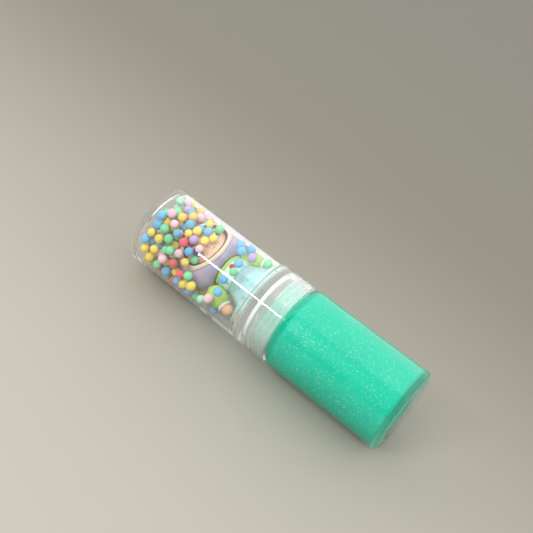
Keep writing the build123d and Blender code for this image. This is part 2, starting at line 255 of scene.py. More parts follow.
def revolved(outline, place, segments=TUBE_SEGMENTS, closed=False, raised=None):
    """Vertices and faces of an outline of (s, r) turned about an axis. place(s, r, angle) gives a
    point, and raised(s, r, angle) may add to the radius."""
    verts = []
    rings = []
    for s, r in outline:
        if r < 1e-6:
            verts.append(place(s, 0.0, 0.0))
            rings.append(1)
            continue
        rings.append(segments)
        for k in range(segments):
            angle = 2 * math.pi * k / segments
            extra = raised(s, r, angle) if raised else 0.0
            verts.append(place(s, r + extra, angle))
    return verts, ring_faces(rings, segments, closed)


def smoothstep(low, high, value):
    t = min(max((value - low) / (high - low), 0.0), 1.0)
    return t * t * (3 - 2 * t)


def thread(at_radius, height, start_angle):
    """A right-handed helical ridge of signed height on the wall at at_radius."""

    def raised(s, r, angle):
        if abs(r - at_radius) > 1e-6:
            return 0.0
        turned = (angle - start_angle) % (2 * math.pi)
        turn = round((s - THREAD_START) / THREAD_PITCH - turned / (2 * math.pi))
        along = turn + turned / (2 * math.pi)
        fade = smoothstep(0.0, 0.12, along) * smoothstep(0.0, 0.12, THREAD_TURNS - along)
        off = abs(s - THREAD_START - along * THREAD_PITCH)
        return height * fade * (1 - smoothstep(THREAD_CREST / 2, THREAD_BASE / 2, off))

    return raised


# ---- material helpers ----
def new_material(name):
    material = bpy.data.materials.new(name)
    material.use_nodes = True
    tree = material.node_tree
    return material, tree, tree.nodes["Principled BSDF"]


def add(tree, kind, **values):
    node = tree.nodes.new(kind)
    for key, value in values.items():
        setattr(node, key, value)
    return node


def feed(tree, socket, value):
    if isinstance(value, bpy.types.NodeSocket):
        tree.links.new(value, socket)
    elif value is not None:
        socket.default_value = value


def calc(tree, operation, *values):
    node = add(tree, "ShaderNodeMath", operation=operation)
    for socket, value in zip(node.inputs, values):
        feed(tree, socket, value)
    return node.outputs[0]


def blend_colour(tree, factor, first, second):
    node = add(tree, "ShaderNodeMix", data_type="RGBA")
    feed(tree, node.inputs[0], factor)
    feed(tree, node.inputs[6], first)
    feed(tree, node.inputs[7], second)
    return node.outputs[2]


def place_in_piece(tree):
    return add(tree, "ShaderNodeTexCoord").outputs["Object"]


def noise_value(tree, scale, detail=3.0, vector=None, roughness=0.5):
    node = add(tree, "ShaderNodeTexNoise")
    feed(tree, node.inputs["Vector"], vector or place_in_piece(tree))
    node.inputs["Scale"].default_value = scale
    node.inputs["Detail"].default_value = detail
    node.inputs["Roughness"].default_value = roughness
    return node.outputs["Fac"]


def spread(tree, value, low, high):
    """The value, taken from 0..1 to low..high."""
    node = add(tree, "ShaderNodeMapRange")
    feed(tree, node.inputs["Value"], value)
    node.inputs["To Min"].default_value = low
    node.inputs["To Max"].default_value = high
    return node.outputs["Result"]


def bump(tree, shader, height, strength, distance):
    node = add(tree, "ShaderNodeBump")
    feed(tree, node.inputs["Height"], height)
    node.inputs["Strength"].default_value = strength
    node.inputs["Distance"].default_value = distance
    tree.links.new(node.outputs["Normal"], shader.inputs["Normal"])


def rgba(r, g, b):
    """An sRGB colour, 0 to 255, as a linear colour."""

    def linear(c):
        c = c / 255
        return c / 12.92 if c < 0.04045 else ((c + 0.055) / 1.055) ** 2.4

    return (linear(r), linear(g), linear(b), 1.0)


def clear_plastic(name, tint, roughness, shade, haze=0.0):
    """Clear moulded plastic, a share of it milky. Light that goes on to what is inside, and light
    that has already turned more than PASS_DEPTH times, passes straight through."""
    material, tree, shader = new_material(name)
    shader.inputs["Base Color"].default_value = tint
    shader.inputs["Transmission Weight"].default_value = 1.0 - haze
    shader.inputs["IOR"].default_value = 1.49
    polish = noise_value(tree, 90.0, 4.0)
    feed(tree, shader.inputs["Roughness"], spread(tree, polish, roughness * 0.5, roughness * 1.6))
    flow = noise_value(tree, 140.0, 2.0)
    bump(tree, shader, flow, 0.02, 0.0004)
    path = add(tree, "ShaderNodeLightPath")
    unseen = calc(tree, "MAXIMUM", path.outputs["Is Shadow Ray"], path.outputs["Is Diffuse Ray"])
    deep = calc(tree, "GREATER_THAN", path.outputs["Ray Depth"], PASS_DEPTH)
    passing = calc(tree, "MAXIMUM", unseen, deep)
    through = add(tree, "ShaderNodeBsdfTransparent")
    through.inputs["Color"].default_value = shade
    mix = add(tree, "ShaderNodeMixShader")
    tree.links.new(passing, mix.inputs[0])
    tree.links.new(shader.outputs[0], mix.inputs[1])
    tree.links.new(through.outputs[0], mix.inputs[2])
    tree.links.new(mix.outputs[0], tree.nodes["Material Output"].inputs["Surface"])
    return material


def slime_gel():
    """Teal gel with cloudy bands and very fine silver glitter."""
    material, tree, shader = new_material("slime_gel")
    place = place_in_piece(tree)
    cloud = noise_value(tree, 55.0, 3.0, place)
    gel = blend_colour(tree, spread(tree, cloud, 0.0, 1.0), rgba(0, 186, 152), rgba(0, 207, 174))
    cells = add(tree, "ShaderNodeTexVoronoi")
    feed(tree, cells.inputs["Vector"], place)
    cells.inputs["Scale"].default_value = 1500.0
    chosen = add(tree, "ShaderNodeSeparateColor")
    tree.links.new(cells.outputs["Color"], chosen.inputs[0])
    speck = calc(tree, "GREATER_THAN", chosen.outputs[0], 0.8)
    near = calc(tree, "LESS_THAN", cells.outputs["Distance"], 0.35)
    speck = calc(tree, "MULTIPLY", speck, near)
    shine = calc(tree, "MULTIPLY", speck, spread(tree, chosen.outputs[1], 0.15, 0.9))
    colour = blend_colour(tree, shine, gel, rgba(205, 240, 232))
    feed(tree, shader.inputs["Base Color"], colour)
    feed(tree, shader.inputs["Metallic"], calc(tree, "MULTIPLY", shine, 0.5))
    shader.inputs["Roughness"].default_value = 0.35
    shader.inputs["Subsurface Weight"].default_value = 0.35
    shader.inputs["Subsurface Radius"].default_value = (0.4, 1.0, 0.85)
    shader.inputs["Subsurface Scale"].default_value = 0.004
    bump(tree, shader, chosen.outputs[2], 0.15, 0.0001)
    return material


def glitter_flake():
    """Silver flakes with a cast of the gel's colour, each a little different."""
    material, tree, shader = new_material("glitter_flake")
    island = add(tree, "ShaderNodeNewGeometry").outputs["Random Per Island"]
    silver = blend_colour(tree, island, rgba(130, 225, 205), rgba(215, 245, 238))
    feed(tree, shader.inputs["Base Color"], silver)
    shader.inputs["Metallic"].default_value = 0.8
    feed(tree, shader.inputs["Roughness"], spread(tree, island, 0.2, 0.5))
    return material


def foam(name, colour):
    """Expanded foam: matte, with small round cells that dimple the skin."""
    material, tree, shader = new_material(name)
    island = add(tree, "ShaderNodeNewGeometry").outputs["Random Per Island"]
    place = place_in_piece(tree)
    cells = add(tree, "ShaderNodeTexVoronoi")
    feed(tree, cells.inputs["Vector"], place)
    cells.inputs["Scale"].default_value = 1300.0
    dark = tuple(c * 0.8 for c in colour[:3]) + (1.0,)
    light = tuple(min(1.0, c * 1.08 + 0.02) for c in colour[:3]) + (1.0,)
    body = blend_colour(tree, island, dark, light)
    seam = spread(tree, cells.outputs["Distance"], 0.0, 0.5)
    pale = tuple(min(1.0, c * 0.75 + 0.25) for c in colour[:3]) + (1.0,)
    feed(tree, shader.inputs["Base Color"], blend_colour(tree, seam, body, pale))
    shader.inputs["Roughness"].default_value = 0.72
    shader.inputs["Specular IOR Level"].default_value = 0.3
    shader.inputs["Subsurface Weight"].default_value = 0.2
    shader.inputs["Subsurface Radius"].default_value = (1.0, 0.8, 0.8)
    shader.inputs["Subsurface Scale"].default_value = 0.0015
    bump(tree, shader, cells.outputs["Distance"], 0.35, 0.00012)
    return material


def vinyl(name, colour, roughness=0.38):
    """Painted soft vinyl, with faint spray mottling and a little give in its gloss."""
    material, tree, shader = new_material(name)
    mottle = noise_value(tree, 260.0, 4.0)
    dark = tuple(c * 0.88 for c in colour[:3]) + (1.0,)
    base = blend_colour(tree, mottle, dark, colour)
    feed(tree, shader.inputs["Base Color"], base)
    grain = noise_value(tree, 3200.0, 2.0)
    feed(tree, shader.inputs["Roughness"], spread(tree, grain, roughness * 0.85, roughness * 1.2))
    shader.inputs["Subsurface Weight"].default_value = 0.12
    shader.inputs["Subsurface Radius"].default_value = (1.0, 0.6, 0.4)
    shader.inputs["Subsurface Scale"].default_value = 0.001
    bump(tree, shader, grain, 0.08, 0.00005)
    return material, tree, shader, base


# ---- clear shells ----
def make_jar(material):
    """The jar, with its foot ring under the base and its thread on the neck."""
    outline = rounded(
        [
            (1.6, 0.0),
            (1.6, 8.0, 0.3),
            (1.1, 8.6, 0.3),
            (1.1, 17.0, 0.4),
            (0.0, 18.2, 0.5),
            (0.0, TUBE_RADIUS, 2.0),
            (SHOULDER, TUBE_RADIUS, SHOULDER_ROUND),
            (SHOULDER, NECK_RADIUS, 0.5),
            (78.0, NECK_RADIUS),
        ]
    )
    outline += wall(78.1, 90.4, NECK_RADIUS)
    outline += rounded(
        [
            (90.5, NECK_RADIUS),
            (NECK_TOP, NECK_RADIUS, 0.35),
            (NECK_TOP, NECK_BORE, 0.35),
            (75.0, NECK_BORE, 1.4),
            (73.2, JAR_BORE, 2.0),
            (JAR_BASE, JAR_BORE, 2.0),
            (JAR_BASE, 0.0),
        ]
    )
    verts, faces = revolved(outline, on_tube, raised=thread(NECK_RADIUS, THREAD_HEIGHT, 0.0))
    return object_from("jar_shell", verts, faces, material, "jar", ["slime_jar"])


def make_cap(material):
    """The screw cap: a skirt with an inside thread, a web across, and a short spigot."""
    outline = rounded([(WEB_BOTTOM, 0.0), (WEB_BOTTOM, SKIRT_BORE, 0.5), (92.0, SKIRT_BORE)])
    outline += wall(91.9, 78.4, SKIRT_BORE)
    outline += rounded(
        [
            (78.3, SKIRT_BORE),
            (CAP_BOTTOM, SKIRT_BORE, 0.6),
            (CAP_BOTTOM, TUBE_RADIUS, 1.2),
            (CAP_TOP, TUBE_RADIUS, 0.9),
            (CAP_TOP, SPIGOT_RADIUS, 0.3),
            (SPIGOT_TOP, SPIGOT_RADIUS, 0.4),
            (SPIGOT_TOP, SPIGOT_BORE, 0.4),
            (WEB_TOP, SPIGOT_BORE, 1.0),
            (WEB_TOP, 0.0),
        ]
    )
    verts, faces = revolved(outline, on_tube, raised=thread(SKIRT_BORE, -THREAD_HEIGHT, math.pi))
    return object_from("cap_shell", verts, faces, material, "cap", ["screw_cap"])


def make_cover(material):
    """The bead cover, closed at its far end."""
    outline = rounded(
        [
            (COVER_INNER_END, 0.0),
            (COVER_INNER_END, COVER_BORE, 4.5),
            (COVER_BOTTOM, COVER_BORE, 0.3),
            (COVER_BOTTOM, COVER_RADIUS, 0.8),
            (TUBE_LENGTH, COVER_RADIUS, 1.8),
            (TUBE_LENGTH, 0.0),
        ],
        steps=12,
    )
    verts, faces = revolved(outline, on_tube)
    return object_from("cover_shell", verts, faces, material, "cover", ["bead_cover"])


# ---- slime, glitter, plug, gasket ----
def make_slime(material):
    """The gel fills the jar and sinks WET into its wall, so that no air gap shows."""
    inner = JAR_BORE + WET
    neck = NECK_BORE + WET
    outline = rounded(
        [
            (JAR_BASE - WET, 0.0),
            (JAR_BASE - WET, inner, 2.0),
            (73.2 + WET, inner, 2.0),
            (75.0 + WET, neck, 1.4),
            (SLIME_LEVEL, neck, 0.8),
            (SLIME_LEVEL - 0.4, 0.0),
        ]
    )
    verts, faces = revolved(outline, on_tube)
    return object_from("slime_body", verts, faces, material, "jar", ["slime"])


def make_glitter(material):
    """Small six-sided flakes, each tilted a little, just under the jar's inner wall."""
    chance = random.Random(5)
    verts = []
    faces = []
    for _ in range(GLITTER_COUNT):
        s = chance.uniform(*GLITTER_SPAN)
        angle = chance.uniform(0, 2 * math.pi)
        size = chance.uniform(*FLAKE_SIZES) * MM
        centre = on_tube(s, GLITTER_RADIUS, angle)
        out = (on_tube(s, GLITTER_RADIUS + 1, angle) - centre).normalized()
        tilt = Vector([chance.uniform(-0.25, 0.25) for _ in range(3)])
        normal = (out + tilt).normalized()
        side = normal.cross(Vector((1, 0, 0))).normalized()
        up = normal.cross(side)
        start = len(verts)
        for layer in (0.0, FLAKE_THICKNESS * MM):
            for k in range(6):
                turn = math.pi * k / 3
                ray = side * math.cos(turn) + up * math.sin(turn)
                verts.append(centre + ray * size + normal * layer)
        faces.append(tuple(start + k for k in range(5, -1, -1)))
        faces.append(tuple(start + 6 + k for k in range(6)))
        for k in range(6):
            n = (k + 1) % 6
            faces.append((start + k, start + n, start + 6 + n, start + 6 + k))
    piece = object_from("slime_glitter", verts, faces, material, "jar", ())
    piece.data.polygons.foreach_set("use_smooth", [False] * len(piece.data.polygons))
    return piece


def make_plug(material):
    """The push-in lid in the jar's neck, with a lip that rests on the rim."""
    outline = rounded(
        [
            (89.0, 0.0),
            (89.0, 18.3, 0.4),
            (91.05, 18.3, 0.1),
            (91.05, 20.2, 0.15),
            (91.9, 20.2, 0.3),
            (91.9, 15.6, 0.3),
            (90.0, 15.0, 0.4),
            (90.0, 0.0),
        ]
    )
    verts, faces = revolved(outline, on_tube)
    return object_from("plug_shell", verts, faces, material, "jar", ["neck_plug"])


def make_gasket(material):
    """The foam ring between the plug's lip and the cap's web."""
    outline = rounded(
        [(92.0, 15.4, 0.3), (92.0, 20.9, 0.3), (93.8, 20.9, 0.3), (93.8, 15.4, 0.3)], closed=True
    )
    verts, faces = revolved(outline, on_tube, closed=True)
    return object_from("gasket_ring", verts, faces, material, "gasket", ["seal_gasket"])


# ---- foam beads ----
def bead_places(node):
    """The centre and radius of each ball in a CAD node."""
    bm = bmesh.new()
    bm.from_mesh(node.data)
    bmesh.ops.remove_doubles(bm, verts=bm.verts, dist=1e-6)
    seen = set()
    found = []
    bm.verts.ensure_lookup_table()
    for vert in bm.verts:
        if vert.index in seen:
            continue
        island = []
        queue = [vert]
        seen.add(vert.index)
        while queue:
            v = queue.pop()
            island.append(v.co.copy())
            for edge in v.link_edges:
                other = edge.other_vert(v)
                if other.index not in seen:
                    seen.add(other.index)
                    queue.append(other)
        low = Vector([min(p[i] for p in island) for i in range(3)])
        high = Vector([max(p[i] for p in island) for i in range(3)])
        found.append(((low + high) / 2, max(high - low) / 2))
    bm.free()
    return found


def make_beads(colour, material, seed):
    """One group of foam beads, each slightly out of round and dimpled."""
    ball = bmesh.new()
    bmesh.ops.create_icosphere(ball, subdivisions=3, radius=1.0)
    points = [v.co.normalized() for v in ball.verts]
    tris = [tuple(v.index for v in f.verts) for f in ball.faces]
    ball.free()
    chance = random.Random(seed)
    verts = []
    faces = []
    for centre, radius in bead_places(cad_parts[f"beads_{colour}"]):
        shift = Vector([chance.uniform(0, 50) for _ in range(3)])
        start = len(verts)
        for p in points:
            swell = noise.noise(p * 1.6 + shift) * 0.02
            dimple = abs(noise.noise(p * 9.0 + shift)) * 0.016
            verts.append(centre + p * radius * (0.985 + swell - dimple))
        faces.extend(tuple(start + i for i in tri) for tri in tris)
    name = f"foam_beads_{colour}"
    return object_from(name, verts, faces, material, "cap", [f"beads_{colour}"])


# ---- doll ----
DOLL = (
    Matrix.Translation((BASE_X, 0, AXIS_Z))
    @ Matrix.Rotation(math.radians(-90), 4, "Y")
    @ Matrix.Translation((0, 0, WEB_TOP * MM))
    @ Matrix.Rotation(math.radians(FACE_TURN), 4, "Z")
    @ Matrix.Translation((DOLL_SIDE_SHIFT * MM, DOLL_SET_BACK * MM, 0))
)


def doll_point(x, y, z):
    """A point given in mm in the doll's own frame: it stands on z = 0 and looks along -y."""
    return DOLL @ (Vector((x, y, z)) * MM)


def doll_place(tree):
    """Texture coordinates in mm in the doll's own frame."""
    node = add(tree, "ShaderNodeMapping", vector_type="TEXTURE")
    tree.links.new(place_in_piece(tree), node.inputs["Vector"])
    node.inputs["Location"].default_value = DOLL.translation
    node.inputs["Rotation"].default_value = DOLL.to_euler()
    node.inputs["Scale"].default_value = (MM, MM, MM)
    parts = add(tree, "ShaderNodeSeparateXYZ")
    tree.links.new(node.outputs[0], parts.inputs[0])
    return node.outputs[0], parts.outputs


def beyond_bun(point, inset):
    """How far a point (doll mm) lies outside the hood's form drawn in by inset."""
    across = math.hypot(point.x, point.y)
    top_centre = HOOD_TOP - HOOD_TOP_ROUND
    base_centre = HOOD_BASE + HOOD_BASE_ROUND
    if point.z > top_centre:
        reach = max(across - HOOD_RADIUS + HOOD_TOP_ROUND, 0)
        return math.hypot(reach, point.z - top_centre) - HOOD_TOP_ROUND + inset
    if point.z < base_centre:
        reach = max(across - HOOD_RADIUS + HOOD_BASE_ROUND, 0)
        return math.hypot(reach, base_centre - point.z) - HOOD_BASE_ROUND + inset
    return across - HOOD_RADIUS + inset


BUN_MIDDLE = Vector((0, 0, (HOOD_BASE + HOOD_TOP) / 2))


def on_bun(direction, inset):
    """The point where a line from the hood's middle leaves the hood's form drawn in by inset."""
    low, high = 0.0, 2 * HOOD_RADIUS
    for _ in range(26):
        middle = (low + high) / 2
        if beyond_bun(BUN_MIDDLE + direction * middle, inset) > 0:
            high = middle
        else:
            low = middle
    return BUN_MIDDLE + direction * low


def face_edge(turn, margin):
    """The direction from the hood's middle to the face's oval, made larger all round by margin."""
    x = (FACE_HALF_WIDTH + margin) * math.cos(turn)
    z = FACE_CENTRE + (FACE_HALF_HEIGHT + margin) * math.sin(turn)
    low, high = 0.0, HOOD_RADIUS
    for _ in range(26):
        middle = (low + high) / 2
        if beyond_bun(Vector((x, -middle, z)), 0.0) > 0:
            high = middle
        else:
            low = middle
    return (Vector((x, -low, z)) - BUN_MIDDLE).normalized()


def make_head(material):
    """The head and neck: a bun with full cheeks, a small chin and a button nose."""
    radius = HOOD_RADIUS - HOOD_WALL - 0.03
    base = HOOD_BASE + HOOD_WALL + 0.03
    top = HOOD_TOP - HOOD_WALL - 0.03
    outline = rounded(
        [
            (HOOD_BASE + 0.02, 0.0),
            (HOOD_BASE + 0.02, 3.95, 0.2),
            (base, 3.95, 0.2),
            (base, radius, HOOD_BASE_ROUND - HOOD_WALL),
            (39.0, radius),
        ],
        steps=20,
    )
    outline += wall(39.1, 44.4, radius, 0.35)
    outline += rounded(
        [(44.5, radius), (top, radius, HOOD_TOP_ROUND - HOOD_WALL - 0.02), (top, 0.0)], steps=36
    )

    def features(z, r, angle):
        if math.cos(angle) < 0 or z < base:
            return 0.0
        x = r * math.sin(angle)
        extra = 0.0
        for across, height, half_width, half_height, rise in FACE_SWELLS:
            u = (x - across) / half_width
            v = (z - height) / half_height
            extra += rise * math.exp(-(u**2) - v**2)
        return extra

    verts, faces = doll_lathe(outline, relief=features, segments=240)
    replaced = ["doll_head", "doll_neck"]
    return object_from("doll_head_vinyl", verts, faces, material, "cap", replaced)


def make_hood(material):
    """The hood: a closed shell from the trim's outer edge to the back, with a seam over the top."""
    segments = 180
    rows = 60
    back = Vector((0, 1, 0))
    edges = [face_edge(2 * math.pi * k / segments, TRIM_WIDTH + 0.02) for k in range(segments)]
    spans = [edge.angle(back) for edge in edges]

    def direction(row, k):
        share = (row / rows) ** 1.2
        rest = math.sin((1 - share) * spans[k]) / math.sin(spans[k])
        gone = math.sin(share * spans[k]) / math.sin(spans[k])
        return (edges[k] * rest + back * gone).normalized()

    def outer(row, k):
        d = back if row == rows else direction(row, k)
        seam = math.exp(-((d.x / 0.03) ** 2)) * (1 if d.z > -0.2 else 0)
        soft = noise.noise(d * 2.3) * 0.2
        lip = 0.25 * math.exp(-((row / 2.0) ** 2))
        return on_bun(d, 0.2 + lip - soft + 0.22 * seam)

    def inner(row, k):
        d = back if row == rows else direction(row, k)
        return on_bun(d, HOOD_WALL - 0.07)

    verts = []
    sizes = []
    for surface, order in ((outer, range(rows + 1)), (inner, range(rows, -1, -1))):
        for row in order:
            count = 1 if row == rows else segments
            sizes.append(count)
            verts.extend(doll_point(*surface(row, k)) for k in range(count))
    faces = ring_faces(sizes, segments, True)
    return object_from("doll_hood_vinyl", verts, faces, material, "cap", ["doll_hood"])


def make_trim(material):
    """The cream band round the face: low, soft and rounded over, lying on the head."""
    around = 240
    across = 14
    section = across + 3
    verts = []
    for i in range(around):
        turn = 2 * math.pi * i / around
        for k in range(across + 1):
            share = k / across
            d = face_edge(turn, TRIM_WIDTH * share)
            soft = 0.05 * noise.noise(d * 40.0)
            rise = TRIM_PROUD * 1.5 * math.sin(math.pi * share) ** 0.5 - TRIM_PROUD * 0.5
            verts.append(doll_point(*on_bun(d, -rise - soft)))
        for share in (1.0, 0.0):
            d = face_edge(turn, TRIM_WIDTH * share)
            verts.append(doll_point(*on_bun(d, HOOD_WALL - 0.07)))
    faces = []
    for i in range(around):
        m = (i + 1) % around
        for k in range(section):
            n = (k + 1) % section
            faces.append((i * section + k, m * section + k, m * section + n, i * section + n))
    return object_from("doll_trim_band", verts, faces, material, "cap", ["doll_hood_trim"])


def egg_verts(place, radius, half_height, rows, segments, shape=None):
    """An egg in the frame place (doll mm), as rings; shape(direction) may scale the radius."""
    verts = []
    sizes = []
    for i in range(rows + 1):
        polar = math.pi * i / rows
        ring = 1 if i in (0, rows) else segments
        sizes.append(ring)
        for k in range(ring):
            turn = 2 * math.pi * k / segments
            d = Vector((math.sin(polar) * math.cos(turn), math.sin(polar) * math.sin(turn), math.cos(polar)))
            scale = shape(d) if shape else 1.0
            p = place @ Vector((d.x * radius * scale, d.y * radius * scale, d.z * half_height))
            verts.append(doll_point(*p))
    return verts, ring_faces(sizes, segments, False)


def doll_lathe(outline, folds=0, depth=0.0, fade=(0.0, 1.0), relief=None, segments=144):
    """An outline of (height, radius) turned about the doll's axis, with soft folds that die away
    from the first height in fade to the second, or with relief(height, radius, angle) added."""

    def raised(z, r, angle):
        if relief:
            return relief(z, r, angle)
        if not folds:
            return 0.0
        amount = 1 - smoothstep(fade[0], fade[1], z)
        wave = math.cos(angle * folds + 0.6 * math.sin(angle * 2))
        return r * depth * amount * wave - r * depth * amount

    def place(z, r, angle):
        return doll_point(r * math.sin(angle), -r * math.cos(angle), z)

    return revolved(outline, place, segments, raised=raised)


def make_dress(material):
    outline = rounded(
        [
            (3.4, 0.0),
            (3.4, 15.2, 0.3),
            (3.0, 15.7, 0.2),
            (3.0, 16.95, 0.6),
            (9.0, 15.35, 6.0),
            (19.95, 10.15, 0.8),
            (19.95, 0.0),
        ]
    )
    verts, faces = doll_lathe(outline, folds=11, depth=0.018, fade=(8.0, 18.0))
    return object_from("doll_dress_vinyl", verts, faces, material, "cap", ["doll_dress"])


def make_bodice(material):
    outline = rounded(
        [(20.05, 0.0), (20.05, 10.15, 0.8), (25.0, 10.75, 3.0), (30.42, 9.35, 1.5), (30.42, 0.0)]
    )
    verts, faces = doll_lathe(outline)
    return object_from("doll_bodice_vinyl", verts, faces, material, "cap", ["doll_bodice"])


def make_collar(material):
    """A soft collar with a scalloped edge."""
    around = 160
    section = 20
    verts = []
    for i in range(around):
        turn = 2 * math.pi * i / around
        scallop = 0.14 * math.cos(turn * 14)
        for k in range(section):
            angle = 2 * math.pi * k / section
            r = COLLAR_RADIUS + (1.35 + scallop) * math.cos(angle)
            z = COLLAR_CENTRE + 1.4 * math.sin(angle)
            verts.append(doll_point(r * math.sin(turn), -r * math.cos(turn), z))
    faces = []
    for i in range(around):
        for k in range(section):
            n = (k + 1) % section
            m = (i + 1) % around
            faces.append((i * section + k, i * section + n, m * section + n, m * section + k))
    return object_from("doll_collar_vinyl", verts, faces, material, "cap", ["doll_collar"])


def make_badge(material):
    """A small domed button on the chest."""
    outline = rounded([(-1.0, 0.0), (-1.0, 1.7, 0.2), (0.7, 1.7, 0.5), (1.1, 0.9, 0.4), (1.1, 0.0)])

    def place(s, r, angle):
        return doll_point(r * math.cos(angle), -BADGE_FORWARD - s, BADGE_CENTRE + r * math.sin(angle))

    verts, faces = revolved(outline, place, 48)
    return object_from("doll_badge_button", verts, faces, material, "cap", ["doll_badge"])


def sleeve_matrix(offset):
    lean = math.radians(math.copysign(SLEEVE_SPREAD, offset))
    return Matrix.Translation((offset, -SLEEVE_FORWARD, SLEEVE_CENTRE)) @ Matrix.Rotation(-lean, 4, "Y")


def make_arm(name, offset, sleeve_paint, cuff_paint, skin):
    place = sleeve_matrix(offset)
    cuff_height = -6.8

    def local(s, r, angle):
        p = place @ Vector((r * math.cos(angle), r * math.sin(angle), s))
        return doll_point(*p)

    def gathers(s, r, angle):
        near_cuff = 1 - smoothstep(cuff_height, cuff_height + 5.0, s)
        return -0.28 * near_cuff * (0.5 + 0.5 * math.cos(angle * 12))

    sleeve = rounded(
        [
            (-6.75, 0.0),
            (-6.75, 3.2, 0.3),
            (-5.2, 4.7, 1.6),
            (-0.8, 5.8, 6.0),
            (4.2, 4.8, 3.0),
            (6.9, 1.6, 1.2),
            (7.15, 0.0),
        ],
        steps=9,
    )
    verts, faces = revolved(sleeve, local, 96, raised=gathers)
    object_from(
        f"doll_sleeve_{name}_vinyl", verts, faces, sleeve_paint, "cap", [f"doll_sleeve_{name}"]
    )

    def ribs(s, r, angle):
        return 0.06 * math.cos(angle * 24) if r > 3.0 else 0.0

    cuff = rounded([(-8.45, 0.0), (-8.45, 4.0, 0.5), (-6.87, 4.0, 0.5), (-6.87, 0.0)])
    verts, faces = revolved(cuff, local, 96, raised=ribs)
    object_from(
        f"doll_cuff_{name}_vinyl", verts, faces, cuff_paint, "cap", [f"doll_cuff_{name}"]
    )

    mitten = place @ Matrix.Translation((0, 0, -10.4))

    def hand_shape(d):
        thumb = Vector((-math.copysign(0.35, offset), -0.85, 0.1)).normalized()
        return 0.97 + 0.1 * math.exp(-((d - thumb).length / 0.3) ** 2)

    verts, faces = egg_verts(mitten, 3.45, 3.45, 40, 56, hand_shape)
    object_from(f"doll_hand_{name}_vinyl", verts, faces, skin, "cap", [f"doll_hand_{name}"])


def make_shoes(material):
    verts = []
    faces = []
    for side in (-1, 1):
        outline = rounded([(0.0, 0.0), (0.0, 4.15, 0.5), (2.9, 4.15, 1.6), (2.9, 0.0)])

        def place(z, r, angle):
            return doll_point(side * 5.4 + r * math.cos(angle), -5.0 + r * math.sin(angle), z)

        more, quads = revolved(outline, place, 64)
        start = len(verts)
        verts.extend(more)
        faces.extend(tuple(start + i for i in quad) for quad in quads)
    return object_from("doll_shoes_vinyl", verts, faces, material, "cap", ["doll_shoes"])


# ---- doll paint ----
def oval(tree, x, z, centre, radii, edge=0.12, turn=0.0):
    """1 inside an oval painted on the front, 0 outside, with an edge as soft as a spray mask."""
    across = calc(tree, "SUBTRACT", x, centre[0])
    along = calc(tree, "SUBTRACT", z, centre[1])
    if turn:
        c, s = math.cos(math.radians(turn)), math.sin(math.radians(turn))
        a = calc(tree, "ADD", calc(tree, "MULTIPLY", across, c), calc(tree, "MULTIPLY", along, s))
        b = calc(tree, "SUBTRACT", calc(tree, "MULTIPLY", along, c), calc(tree, "MULTIPLY", across, s))
        across, along = a, b
    u = calc(tree, "DIVIDE", across, radii[0])
    v = calc(tree, "DIVIDE", along, radii[1])
    far = calc(tree, "SQRT", calc(tree, "ADD", calc(tree, "MULTIPLY", u, u), calc(tree, "MULTIPLY", v, v)))
    node = add(tree, "ShaderNodeMapRange", interpolation_type="SMOOTHSTEP")
    feed(tree, node.inputs["Value"], far)
    node.inputs["From Min"].default_value = 1 - edge
    node.inputs["From Max"].default_value = 1 + edge
    node.inputs["To Min"].default_value = 1.0
    node.inputs["To Max"].default_value = 0.0
    return node.outputs["Result"]


def face_paint():
    """Peach vinyl with a simple painted face of its own: oval eyes, brows, blush and a small smile."""
    material, tree, shader, colour = vinyl("face_paint", rgba(247, 206, 176), 0.34)
    _, (x, y, z) = doll_place(tree)
    front = calc(tree, "LESS_THAN", y, -2.0)
    eye_height = FACE_CENTRE - 0.8
    # outline, iris, pupil, lower glow, and two highlights: shift, rise, radii, softness, colour
    eye_layers = [
        (0.0, 0.35, (2.6, 3.1), 0.05, rgba(38, 44, 56)),
        (0.0, -0.1, (2.2, 2.6), 0.05, rgba(104, 146, 168)),
        (0.0, 0.5, (1.3, 1.5), 0.08, rgba(34, 52, 74)),
        (0.0, -1.5, (1.4, 0.75), 0.3, rgba(168, 208, 214)),
        (0.8, 1.4, (0.7, 0.8), 0.1, rgba(255, 255, 255)),
        (-0.9, -0.9, (0.35, 0.4), 0.15, rgba(255, 255, 255)),
    ]

    def paint(mask, ink):
        nonlocal colour
        colour = blend_colour(tree, calc(tree, "MULTIPLY", mask, front), colour, ink)

    for side in (-1, 1):
        paint(oval(tree, x, z, (side * 10.4, eye_height - 4.8), (2.8, 1.7), 0.55), rgba(243, 150, 140))
        for shift, rise, radii, edge, ink in eye_layers:
            paint(oval(tree, x, z, (side * 7.0 + shift, eye_height + rise), radii, edge), ink)
        brow = oval(tree, x, z, (side * 7.2, eye_height + 5.2), (1.7, 0.4), 0.2, side * -8)
        paint(brow, rgba(150, 104, 88))
    smile = oval(tree, x, z, (0, eye_height - 4.9), (1.5, 0.95), 0.1)
    upper = oval(tree, x, z, (0, eye_height - 4.4), (1.7, 1.0), 0.1)
    paint(calc(tree, "MULTIPLY", smile, calc(tree, "SUBTRACT", 1.0, upper)), rgba(176, 74, 70))
    feed(tree, shader.inputs["Base Color"], colour)
    return material


